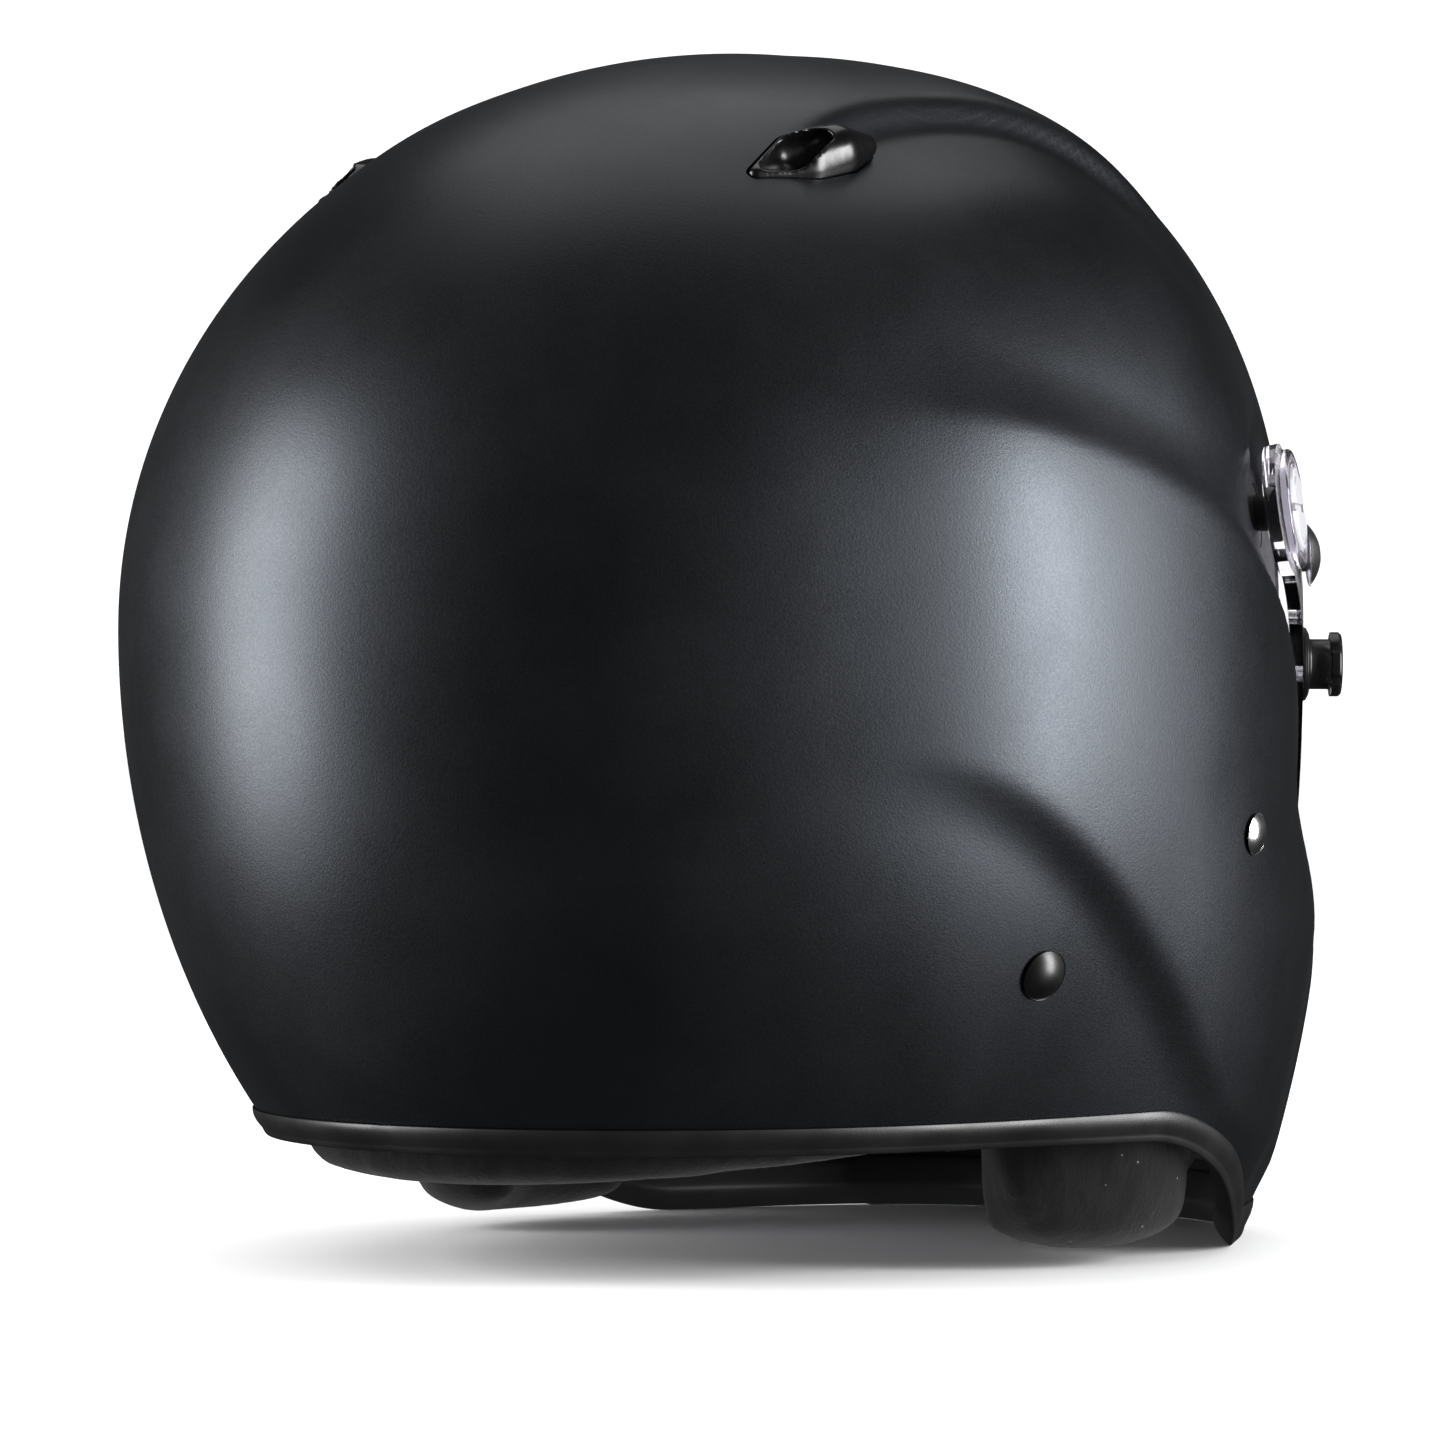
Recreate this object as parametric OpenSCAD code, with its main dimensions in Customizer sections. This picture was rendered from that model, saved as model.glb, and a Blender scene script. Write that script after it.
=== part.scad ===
// Full-face auto-racing helmet, seen level, with the front along -Y.
// The origin is on the ground under the middle of the helmet; the shell's shape is
// measured from a centre inside it, by azimuth (0 front, + to the wearer's left) and elevation.

/* [Shell] */
// Half the width of the bare shell
half_width = 126; // [122:1:130]
// Distance from the centre to the back
rear_length = 160.6; // [154:0.2:168]
// Distance from the centre to the brow
front_length = 138.8; // [132:0.2:145]
// Distance from the centre up to the crown
crown_height = 131; // [126:1:136]
// Height of the centre above the level bottom edge
centre_height = 113.7; // [110:0.1:118]
// Thickness of the shell wall
wall = 4; // [3:0.5:5]
// Drop of the chin bar below the level bottom edge
chin_drop = 28; // [22:1:34]

/* [Shell features] */
// Height of the crown ribs above the shell
rib_height = 2; // [1:0.5:3]
// Depth of the hollow outside each crown rib
rib_foot = 3; // [1:0.5:4]
// Height of the raised cheek panel
panel_height = 3; // [1:0.5:4]
// Depth of the pocket that the visor lies in
pocket_depth = 2.6; // [2.2:0.1:3.2]
// Extra length at the middle of the chin bar
chin_nose = 13; // [8:1:18]

/* [Eyeport and visor] */
// Half the width of the eyeport
eyeport_half = 88; // [84:1:92]
// Height of the eyeport
eyeport_height = 75; // [70:1:78]
// Thickness of the visor
visor_thick = 3; // [2.5:0.5:3]
// Gap from the bare shell line to the inside of the visor
visor_gap = 0.5; // [0.4:0.1:1]
// Radius of the pivot pins
pivot_r = 4; // [3:0.5:5]
// Radial running clearance at the pivots
pivot_clear = 0.05; // [0.02:0.01:0.1]

/* [Lining] */
// Thickness of the foam liner
foam = 31; // [26:1:34]
// Thickness of the comfort liner
comfort = 8; // [6:1:10]
// Width of the chin strap
strap_w = 22; // [20:1:25]

/* [Hidden] */

// Where the shell's centre stands above the ground, and how far it is set forward
centre = [0, -5.21, centre_height + 26.91];
// The lowest line of the trim, measured from the centre, at the sides and the back
edge_level = 2 - centre_height;
trim_under = 1.5;
// Shell outline exponents: 2 is a true ellipse
front_plan = 1.68;
front_profile = 2.29;
rear_profile = 2.01;
rear_depth = 172;
front_depth = 222;
chin_out = 7.7;
// Pivot axis, and where the round pieces stand, as [azimuth, elevation]
pivot_at = [69, 12];
pivot_y = -43.7;
pivot_z = 25.9;
screw_at = [48.8, 8];
post_at = [48.8, -3.3];
rivet_at = [82, -19.6];
anchor_at = [110, -32.5];
ear_r = 6.6;
eyeport_mid = -1.5;
eyeport_round = 24;
chin_slot_z = -72;
pivot_pocket = 1.4;

vent_gap = 0.4;
$fn = 48;
shell_n = 96;
shell_rows = 38;
inner_n = 48;
inner_rows = 18;

// ---- Shape of the shell -------------------------------------------------------------

function smooth(t) = let (u = min(max(t, 0), 1)) u * u * (3 - 2 * u);
function mix(p, q, t) = p + (q - p) * t;

// The bare shell: a super-ellipsoid whose front is narrower and fuller than its back
function bare(a, e) =
    let (k = smooth(cos(a) + 0.5),
        length = mix(rear_length, front_length, k),
        plan = mix(2, front_plan, k * smooth(abs(a) / 45)),
        profile = mix(rear_profile, front_profile, k),
        below = mix(rear_depth, front_depth, smooth(cos(a) + 0.35)),
        height = e > 0 ? crown_height : below,
        level = pow(pow(abs(sin(a)) * cos(e) / half_width, plan)
            + pow(abs(cos(a)) * cos(e) / length, plan), 1 / plan))
    1 / pow(pow(level, profile) + pow(abs(sin(e)) / height, profile), 1 / profile);

// Upper and lower edges of the visor; its ears end in half circles round the pivots
function ear(a) = let (d = (abs(a) - pivot_at[0]) / ear_r) sqrt(max(0, 1 - d * d)) * ear_r;
function visor_top(a) =
    abs(a) > pivot_at[0] ? pivot_at[1] + ear(a)
    : max(mix(18, 11.5, smooth(abs(a) / 52)), abs(a) > pivot_at[0] - ear_r ? pivot_at[1] + ear(a) : 0);
function visor_bottom(a) =
    abs(a) > pivot_at[0] ? pivot_at[1] - ear(a)
    : abs(a) > 61 ? mix(0.5, pivot_at[1] - ear_r, (abs(a) - 61) / (pivot_at[0] - 61))
    : mix(-18, 0.5, smooth((abs(a) - 54) / 7));

// Lower edge of the visor's pocket, a little wide of the visor's own
function pocket_bottom(a) = visor_bottom(abs(a) - 1.3);

// The raised cheek panel and chin bar, between an upper and a lower crease
function crease_top(a) =
    min(20 - 13 * pow(max(0, 124 - abs(a)) / 44, 2),
        abs(a) < 77 ? pocket_bottom(a) - 2.8 : 20);
function crease_low(a) = -13 - 32 * smooth(((132 - abs(a)) / 64 - 0.05) / 0.95);
function ramp(t) = let (u = min(max(t + 1, 0), 1)) u * u;
function panel(a, e) = panel_height
    * ramp((crease_top(a) - 1 - e) / mix(8, 2, smooth((84 - abs(a)) / 8)))
    * ramp((e - crease_low(a) - 1) / 6) * smooth((136 - abs(a)) / 26);

// The chin bar stands forward of the bare shell
function chin(a, e) = chin_out * smooth((cos(a) + 0.1) / 0.75) * smooth((-15.1 - e) / 13.8)
    + chin_nose * smooth((cos(a) - 0.6) / 0.4) * smooth((-19.5 - e) / 12);

// The visor's pocket, deeper round the pivot
function pocket(a, e) = -pocket_depth * smooth((visor_top(a) + 5 - e) / 4)
    * smooth((e - pocket_bottom(a) + 3) / 1.6) * smooth((80 - abs(a)) / 2.5)
    - pivot_pocket * smooth((9.2 - norm([(abs(a) - pivot_at[0]) * cos(e), e - pivot_at[1]])) / 1.5);

// A crown rib: side is the angle off the middle, along is the angle from crown to back
function rib_line(along) = 26 + 15 * pow(min(max((30 - along) / 50, -0.2), 1.2), 3);
function rib_shape(d) =
    d < 0 ? rib_height * smooth((d + 17) / 17)
    : d < 3.6 ? mix(rib_height, -rib_foot, smooth(d / 3.6))
    : -rib_foot * (1 - smooth((d - 3.6) / 16));
function ribs(a, e) =
    e < 0 ? 0
    : let (side = asin(min(1, abs(sin(a)) * cos(e))),
        along = atan2(-cos(a) * cos(e), sin(e)))
    rib_shape(side - rib_line(along)) * smooth((along + 25) / 13) * smooth((42 - along) / 20);

function outside(a, e) = bare(a, e) + chin(a, e) + panel(a, e) + pocket(a, e) + ribs(a, e);

function heading(a, e) = [sin(a) * cos(e), -cos(a) * cos(e), sin(e)];
// A point on the shell, and one on the bare shell, a distance off outward
function on_shell(a, e, off) = (outside(a, e) + off) * heading(a, e);
function on_bare(a, e, off) = (bare(a, e) + off) * heading(a, e);

// Elevation at which the shell reaches a height z
function elevation(a, z, off = 0, e = -30, tries = 14) =
    tries == 0 ? e
    : elevation(a, z, off, atan2(z, (outside(a, e) + off) * cos(e)), tries - 1);
function edge_z(a) = edge_level - chin_drop * smooth((88 - abs(a)) / 40);
function edge(a) = elevation(a, edge_z(a) + trim_under);

// ---- Builders ----------------------------------------------------------------------

function quad(p, q, r, s) = [[p, q, r], [p, r, s]];
function angles(from, to, n) = [for (k = [0:n]) mix(from, to, k / n)];

// Solid of all that lies inside a set of rings, down to the centre
module star(rings) {
    n = len(rings[0]);
    m = len(rings);
    top = norm(rings[m - 1][0]) * [0, 0, 1];
    points = concat([for (ring = rings) each ring], [top, [0, 0, 0]]);
    faces = concat(
        [for (i = [0:m - 2], j = [0:n - 1]) let (k = (j + 1) % n)
            each quad(i * n + j, (i + 1) * n + j, (i + 1) * n + k, i * n + k)],
        [for (j = [0:n - 1]) let (k = (j + 1) % n) [(m - 1) * n + j, n * m, (m - 1) * n + k]],
        [for (j = [0:n - 1]) let (k = (j + 1) % n) [j, k, n * m + 1]]);
    polyhedron(points, faces);
}

// Solid through a row of outlines, closed into a loop or capped at its two ends
module loft(outlines, loop = false) {
    n = len(outlines[0]);
    m = len(outlines);
    last = loop ? m - 1 : m - 2;
    faces = concat(
        [for (i = [0:last], j = [0:n - 1]) let (k = (j + 1) % n, q = (i + 1) % m)
            each quad(i * n + j, i * n + k, q * n + k, q * n + j)],
        loop ? [] : [for (j = [1:n - 2]) [0, j + 1, j]],
        loop ? [] : [for (j = [1:n - 2]) let (c = (m - 1) * n) [c, c + j, c + j + 1]]);
    polyhedron([for (outline = outlines) each outline], faces);
}

module place() { translate(centre) children(); }
module to_side(side) { if (side > 0) children(); else mirror([1, 0, 0]) children(); }
module both_sides() { for (side = [-1, 1]) to_side(side) children(); }

// Puts children on the bare shell, standing outward, on the wearer's left
module stand_on(at, off) {
    step = 0.5;
    across = on_bare(at[0] + step, at[1], off) - on_bare(at[0] - step, at[1], off);
    up = on_bare(at[0], at[1] + step, off) - on_bare(at[0], at[1] - step, off);
    out = cross(across, up);
    translate(on_bare(at[0], at[1], off))
        rotate([0, acos(out[2] / norm(out)), atan2(out[1], out[0])]) children();
}

function shell_rings(off, n, rows, lower) =
    [for (i = [0:rows]) [for (j = [0:n - 1]) let (a = 360 * j / n - 180)
        on_shell(a, mix(edge(a) - lower, 86, i / rows), off)]];
// Lower edges of the foam and comfort liners: over the eyeport, over the cheek pads, low behind
function lining_edge(a) =
    mix(mix(-31, 1, smooth((116 - abs(a)) / 8)), 25, smooth((80 - abs(a)) / 14));

// ---- Shell and trims ---------------------------------------------------------------

// The line that the shell's inside follows
function hull_line(a, e) = min(outside(a, e), bare(a, e) + chin(a, e));
function under_shell(a, e, off) = (hull_line(a, e) + off) * heading(a, e);

// The azimuths are half a step off the outside's, so that no two edges run together
module under_shell_star(off, low, n = inner_n, rows = inner_rows) {
    star([for (i = [0:rows]) [for (j = [0:n - 1]) let (a = 360 * (j + 0.4) / n - 180)
        under_shell(a, mix(edge(a) - low, 86.3, i / rows), off)]]);
}

module eyeport_outline(grow = 0) {
    x = eyeport_half + grow - eyeport_round;
    z = eyeport_height / 2 + grow - eyeport_round;
    hull() for (i = [-1, 1], j = [-1, 1])
        translate([i * x, eyeport_mid + j * z]) circle(eyeport_round, $fn = 40);
}

module shell() color("#1c1d20") place() difference() {
    resize([0, 0, 0]) difference() {
        star(shell_rings(0, shell_n, shell_rows, 0));
        under_shell_star(-wall, 6);
        rotate([90, 0, 0]) linear_extrude(220) eyeport_outline();
        both_sides() vent_hull(vent_gap);
        rotate([90, 0, 0]) linear_extrude(220) chin_slot();
    }
    both_sides() stand_on(rivet_at, panel_height) cylinder(h = 30, r = 2.6, center = true);
    both_sides() stand_on(anchor_at, 0) cylinder(h = 24, r = 4.6, center = true);
    both_sides() stand_on(pivot_at, 0) cylinder(h = 30, r = base_r + 0.2, center = true);
}

// U-shaped rubber trim round the bottom edge, as offsets along and off the shell
module bottom_trim() color("#2b2c2e") place() {
    outline = [[-0.55, 0.7], [0.1, 1.3], [1.5, 1.2], [1.9, 0.3], [-0.15, 0.25], [-0.15, -wall - 0.5],
        [1.9, -wall - 0.6], [1.5, -wall - 1.7], [0, -wall - 1.8], [-0.55, -wall - 1]];
    loft([for (j = [0:71]) let (a = 5 * j - 180) [for (p = outline)
        on_shell(a, edge(a) + p[0], p[1])]], loop = true);
}

// Depth of the shell's front at a place seen from the front, found by halving
function front_y(x, z, off, near = -190, far = -20, tries = 14) =
    let (y = (near + far) / 2)
    tries == 0 ? y
    : norm([x, y, z]) > outside(atan2(x, -y), atan2(z, norm([x, y]))) + off
        ? front_y(x, z, off, y, far, tries - 1) : front_y(x, z, off, near, y, tries - 1);

// A place on the eyeport's rounded rectangle, and its outward direction: quarter by quarter
function eyeport_path() = let (
        x = eyeport_half - eyeport_round,
        z = eyeport_height / 2 - eyeport_round,
        corners = [[x, z], [-x, z], [-x, -z], [x, -z]])
    [for (c = [0:3]) each concat(
        [for (t = [0:5]) let (d = 90 * c + 18 * t)
            [corners[c] + eyeport_round * [cos(d), sin(d)], [cos(d), sin(d)]]],
        [for (t = [1:c % 2 == 0 ? 7 : 3]) let (d = 90 * c + 90)
            [mix(corners[c], corners[(c + 1) % 4], t / (c % 2 == 0 ? 8 : 4))
                + eyeport_round * [cos(d), sin(d)], [cos(d), sin(d)]]])];

// Rubber channel round the eyeport's edge, its lips inside and outside the shell
module eyeport_gasket() color("#202123") place() {
    outline = [[4.4, 0.4], [4.4, 1.1], [3.6, 1.5], [-1.2, 1.5], [-2, 0.9], [-2, -wall - 2],
        [-1.2, -wall - 2.6], [4, -wall - 2.6], [5, -wall - 2.2], [5, -wall - 1.2],
        [-0.2, -wall - 1.2], [-0.2, 0.4]];
    loft([for (spot = eyeport_path()) [for (p = outline)
        let (x = spot[0][0] + p[0] * spot[1][0], z = eyeport_mid + spot[0][1] + p[0] * spot[1][1])
        [x, front_y(x, z, p[1]), z]]], loop = true);
}

module chin_slot() {
    hull() for (i = [-1, 1]) translate([i * 24, chin_slot_z]) circle(5.5, $fn = 24);
}
// Louvred grille behind the slot in the chin bar
module chin_vent_grille() color("#141516") place() difference() {
    intersection() {
        loft([for (a = angles(-15, 15, 10)) [
            on_shell(a, -32, -2.4), on_shell(a, -22, -2.4), on_shell(a, -22, -4.2), on_shell(a, -32, -4.2)]]);
        rotate([90, 0, 0]) linear_extrude(220) offset(-0.4) chin_slot();
    }
    for (i = [-3:3]) translate([i * 7.4, -150, chin_slot_z]) cube([4, 60, 5], center = true);
}

// ---- Rear exhaust scoops -----------------------------------------------------------

// A place by its angle off the middle, its angle from crown to back, and its distance off
function on_crown(side, along, off) =
    let (d = [sin(side), cos(side) * sin(along), cos(side) * cos(along)])
    (bare(atan2(d[0], -d[1]), asin(d[2])) + off) * d;

module vent_ball(spot, grow) {
    translate(on_crown(spot[0], spot[1], spot[2])) sphere(spot[3] + grow, $fn = 20);
}
// Side angle, angle along, distance off and radius of each end of the scoop's outside
vent_spots = [[30.6, 24, -1, 2.8], [29.4, 28.6, -1.4, 6.6], [28.2, 32.6, -2, 7.2], [26.5, 38.8, -0.5, 1.8]];
mouth_spots = [[28.9, 30.6, 2.4, 3.2], [28, 33.6, 1.8, 4.6], [27, 37.6, 2.4, 2], [27.9, 37, 6, 3.4]];
module vent_hull(grow = 0) { hull() for (spot = vent_spots) vent_ball(spot, grow); }
module rear_vent(side) color("#101113") place() to_side(side) resize([0, 0, 0]) difference() {
    vent_hull();
    hull() for (spot = mouth_spots) vent_ball(spot, 0);
    under_shell_star(-wall + 1.2, 6, 24, 12);
}
module rear_vent_left() { rear_vent(1); }
module rear_vent_right() { rear_vent(-1); }

// ---- Foam and lining ---------------------------------------------------------------

foam_out = -wall - 1.7;
foam_in = foam_out - foam;
comfort_out = foam_in - 1.4;

module lining(off, low, n, rows) {
    star([for (i = [0:rows]) [for (j = [0:n - 1]) let (a = 360 * j / n - 180)
        on_bare(a, mix(lining_edge(a) - low, 86, i / rows), off)]]);
}
module eps_liner() color("#2a2a2c") place() {
    resize([0, 0, 0]) difference() {
        star([for (i = [0:inner_rows]) [for (j = [0:inner_n - 1]) let (a = 360 * (j + 0.4) / inner_n - 180)
            under_shell(a, mix(lining_edge(a), 86, i / inner_rows), foam_out)]]);
        lining(foam_in, 8, 40, 14);
        both_sides() hull() {
            translate(on_crown(28, 33, -4)) sphere(6, $fn = 16);
            translate(on_crown(26, 30, -50)) sphere(6, $fn = 16);
        }
        both_sides() stand_on(anchor_at, 0) cylinder(h = 30, r = 11, center = true);
        both_sides() stand_on(rivet_at, 0) cylinder(h = 30, r = 16, center = true);
        both_sides() stand_on(pivot_at, 0) cylinder(h = 34, r = base_r + 6, center = true);
    }
}
module comfort_liner() color("#3a3a3c") place() resize([0, 0, 0]) difference() {
    lining(comfort_out, -3, 36, 12);
    lining(comfort_out - comfort, 8, 30, 10);
}
// Foam block inside the chin bar
module chin_foam() color("#2a2a2c") place() difference() {
    loft([for (a = angles(-50, 50, 14)) [
        under_shell(a, edge(a) + 2.5, -wall - 1.8), under_shell(a, edge(a) + 9, -wall - 1.8),
        under_shell(a, -25, -wall - 1.8), under_shell(a, -25, -wall - 17),
        under_shell(a, edge(a) + 9, -wall - 19), under_shell(a, edge(a) + 2.5, -wall - 17)]]);
    rotate([90, 0, 0]) linear_extrude(220) offset(1) chin_slot();
}

// A place inside the shell at an azimuth and height, in from it by an amount
function inside_at(a, z, inward) =
    let (e = elevation(a, z, -wall), r = (hull_line(a, e) - wall) * cos(e) - inward)
    [r * sin(a), -r * cos(a), z];
// The foot of a pad under the trim: its outline is set in from the shell's bottom edge
function pad_foot(a, z, inward) = let (p = inside_at(a, edge_z(a) + 8, inward)) [p[0], p[1], z];

// The cheek pad has a pocket for the strap's rivet and a slot that the strap passes through
module cheek_pad(side) color("#232325") place() to_side(side) resize([0, 0, 0]) difference() {
    low = edge_level - 23;
    loft([for (a = angles(58, 104, 12)) let (t = (a - 58) / 46, full = sin(180 * mix(0.12, 0.88, t)),
            thick = 40 * full + 4, top = -4 - 20 * (1 - full), foot = mix(low + 16, low, full)) [
        inside_at(a, top, 5), inside_at(a, -40, 5), inside_at(a, edge_z(a) + 34, 5.5),
        inside_at(a, edge_z(a) + 8, 6.5), pad_foot(a, foot + 6, 7), pad_foot(a, foot, 13),
        pad_foot(a, foot, thick - 12), pad_foot(a, foot + 8, thick - 6),
        inside_at(a, -50, thick + 3), inside_at(a, top - 6, thick - 2), inside_at(a, top, thick - 9)]]);
    stand_on(rivet_at, 0) cylinder(h = 24, r = 10, center = true);
    for (cut = [[50, strap_z - 4, 50, 8], [95, strap_z - 4, 30, 16]])
        translate([cut[0], strap_y - strap_w / 2 - 1.5, cut[1]]) cube([cut[2], strap_w + 3, cut[3]]);
}
module cheek_pad_left() { cheek_pad(1); }
module cheek_pad_right() { cheek_pad(-1); }

module neck_roll() color("#232325") place() {
    loft([for (a = angles(117, 243, 26)) let (full = sin(180 * mix(0.1, 0.9, (a - 117) / 126)),
            low = edge_z(a) - 7 * full, thick = 10 + 22 * full) [
        inside_at(a, edge_z(a) + 26, 3), inside_at(a, edge_z(a) + 8, 6), pad_foot(a, low + 3, 7),
        pad_foot(a, low, 11), pad_foot(a, low, thick - 4), pad_foot(a, low + 5, thick),
        inside_at(a, edge_z(a) + 20, thick + 6), inside_at(a, edge_z(a) + 27, thick)]]);
}

// ---- Visor and its hardware --------------------------------------------------------

visor_out = visor_gap + visor_thick;
// Azimuths of the visor's outlines: close together where its edge turns
visor_half = concat(angles(0, 50, 8), angles(53, 63, 5), angles(65, pivot_at[0], 1),
    [for (t = [1:5]) pivot_at[0] + ear_r * sin(16.4 * t)]);
visor_azimuths = concat([for (k = [len(visor_half) - 1:-1:1]) -visor_half[k]], visor_half);
visor_rows = 8;

module visor_sheet(in, out) {
    loft([for (a = visor_azimuths) concat(
        [for (i = [0:visor_rows]) on_bare(a, mix(visor_bottom(a), visor_top(a), i / visor_rows), out)],
        [for (i = [visor_rows:-1:0])
            on_bare(a, mix(visor_bottom(a), visor_top(a), i / visor_rows), in)])]);
}
module pivot_line(r, from, to) {
    translate([from, pivot_y, pivot_z]) rotate([0, 90, 0]) cylinder(h = to - from, r = r);
}
module visor() color([0.75, 0.72, 0.8, 0.4]) place() difference() {
    visor_sheet(visor_gap, visor_out);
    both_sides() pivot_line(pivot_r + pivot_clear, 90, 130);
    both_sides() stand_on(screw_at, visor_out) cylinder(h = 20, r = 2.6, center = true);
    both_sides() stand_on(post_at, visor_out) cylinder(h = 20, r = 2.2, center = true);
}
// Thicker rim round each ear, outside the visor, with the pivot cap inside it
module ear_rim(side) color([0.7, 0.66, 0.76, 0.6]) place() to_side(side)
    stand_on(pivot_at, visor_out + 0.1) difference() {
        union() {
            cylinder(h = 1.2, r = 13.4);
            translate([0, 0, 1.2]) cylinder(h = 0.6, r1 = 13.4, r2 = 12.8);
        }
        translate([0, 0, -1]) cylinder(h = 4, r = 10);
    }
module ear_rim_left() { ear_rim(1); }
module ear_rim_right() { ear_rim(-1); }

// Socket set into the shell, with the pin that the visor turns on
base_r = 7;
module pivot_base(side) color("#26272a") place() to_side(side) {
    stand_on(pivot_at, 0) translate([0, 0, -pocket_depth - pivot_pocket - 8.3]) {
        cylinder(h = 8, r = base_r);
        cylinder(h = 2, r = base_r + 3);
    }
    pivot_line(pivot_r, pin_from, pin_to);
}
pin_from = 108;
pin_to = 115.8;
module pivot_base_left() { pivot_base(1); }
module pivot_base_right() { pivot_base(-1); }

module pivot_cap(side) color("#c9c8cf") place() to_side(side) stand_on(pivot_at, visor_out + 0.25)
    difference() {
        union() {
            cylinder(h = 1.4, r = 9.5);
            translate([0, 0, 1.4]) cylinder(h = 0.8, r1 = 9.5, r2 = 8.7);
        }
        translate([-0.9, -8, 1.3]) cube([1.8, 16, 3]);
    }
module pivot_cap_left() { pivot_cap(1); }
module pivot_cap_right() { pivot_cap(-1); }

// Low dome of radius r and height h
module dome(r, h) {
    big = (r * r + h * h) / (2 * h);
    intersection() {
        translate([0, 0, h - big]) sphere(big, $fn = 64);
        cylinder(h = h + 1, r = r);
    }
}
module visor_screws() color("#d8d9dc") place() both_sides() stand_on(screw_at, visor_out) {
    difference() {
        union() {
            translate([0, 0, 2.1]) dome(7.5, 3.2);
            translate([0, 0, -3.3]) cylinder(h = 5.5, r = 2.5);
        }
        translate([0, 0, 3.4]) cylinder(h = 3, r = 2.1, $fn = 6);
    }
}
module visor_spacers() color("#6d6e72") place() both_sides() stand_on(screw_at, visor_out)
    translate([0, 0, 0.25]) difference() {
        cylinder(h = 1.8, r = 3.9);
        translate([0, 0, -1]) cylinder(h = 4, r = 2.6);
    }
module tear_off_posts() color("#1a1b1d") place() both_sides() stand_on(post_at, visor_out) difference() {
    union() {
        translate([0, 0, 0.9]) cylinder(h = 0.9, r1 = 8.4, r2 = 7.2);
        translate([0, 0, 1.7]) cylinder(h = 5.2, r = 5.75);
        translate([0, 0, 6.8]) cylinder(h = 2.5, r = 7.5);
    }
    translate([0, 0, -1]) cylinder(h = 6, r = 2.05);
    for (turn = [0:60:300]) rotate([0, 0, turn]) translate([8.3, 0, 6]) cylinder(h = 5, r = 1.6);
}
module tear_off_washers() color("#232427") place() both_sides() stand_on(post_at, visor_out)
    translate([0, 0, 0.2]) difference() {
        cylinder(h = 0.65, r = 8.6);
        translate([0, 0, -1]) cylinder(h = 3, r = 2.2);
    }
module tear_off_screws() color("#9a9ca0") place() both_sides() stand_on(post_at, visor_out) {
    translate([0, 0, -4.3]) cylinder(h = 1, r = 4);
    translate([0, 0, -4.3]) cylinder(h = 8.5, r = 2);
}

// ---- Anchors and chin strap --------------------------------------------------------

module strap_rivets() color("#c4c6ca") place() both_sides() stand_on(rivet_at, panel_height) {
    translate([0, 0, 0.9]) dome(4.65, 1.7);
    translate([0, 0, -13.2]) cylinder(h = 14.4, r = 2.5);
}
module rivet_washers() color("#8f9195") place() both_sides() stand_on(rivet_at, panel_height)
    translate([0, 0, -12.9]) difference() {
        cylinder(h = 1, r = 8);
        translate([0, 0, -1]) cylinder(h = 3, r = 2.55);
    }
module anchor_inserts() color("#8f9195") place() both_sides() stand_on(anchor_at, 0) difference() {
    union() {
        translate([0, 0, -wall - 3.4]) cylinder(h = wall + 3.1, r = 4.5);
        translate([0, 0, -wall - 3.4]) cylinder(h = 2, r = 9);
    }
    translate([0, 0, -20]) cylinder(h = 30, r = 2.5);
}
module anchor_plugs() color("#17181a") place() both_sides() stand_on(anchor_at, 0) {
    translate([0, 0, 0.5]) dome(5.6, 2.2);
    translate([0, 0, -4]) cylinder(h = 4.7, r = 2.4);
}

// A flat band of thickness t and width w, its edge following points [x, z] at a given y
module ribbon(path, t, w, y) {
    n = len(path);
    side = [for (i = [0:n - 1]) let (d = path[min(i + 1, n - 1)] - path[max(i - 1, 0)])
        [-d[1], d[0]] / norm(d) * t / 2];
    translate([0, y + w / 2, 0]) rotate([90, 0, 0]) linear_extrude(w) polygon(concat(
        [for (i = [0:n - 1]) path[i] + side[i]], [for (i = [n - 1:-1:0]) path[i] - side[i]]));
}
strap_y = -16;
strap_t = 1.6;
// The band runs down inside the shell, through the cheek pad and out on its inner face
strap_start = [for (z = [-30:-8:-62]) let (p = inside_at(82, z, 3.2)) [p[0], z]];
strap_z = -69;
strap_bend = [[97, strap_z + 1.6], [92, strap_z], [64, strap_z], [60, strap_z - 1], [57.5, strap_z - 4]];
ring_z = -92;
ring_x = [59, 51.5];
ring_wire = 1.7;
ring_r = 13.6;

module rivet_hole() { stand_on(rivet_at, panel_height) cylinder(h = 40, r = 2.55, center = true); }
module strap_long() color("#1d1e20") place() mirror([1, 0, 0]) difference() {
    ribbon(concat(strap_start, strap_bend, [[56.5, -78], [56.5, -112], [55.3, -115], [53, -115],
        [51.8, -112], [51.8, -58], [50.6, -55], [48.4, -55], [47.2, -58], [47.2, -106]]),
        strap_t, strap_w, strap_y);
    rivet_hole();
}

module strap_short() color("#1d1e20") place() difference() {
    union() {
        ribbon(concat(strap_start, strap_bend, [[56.5, -77], [56, -89]]), strap_t, strap_w, strap_y);
        translate([0, strap_y + strap_w / 2, 0]) rotate([90, 0, 0]) linear_extrude(strap_w)
            hull() for (x = ring_x) translate([x, ring_z]) circle(3.4);
    }
    for (x = ring_x) translate([x, strap_y, ring_z]) rotate([90, 0, 0])
        cylinder(h = strap_w + 2, r = ring_wire + pivot_clear, center = true);
    rivet_hole();
}
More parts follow.
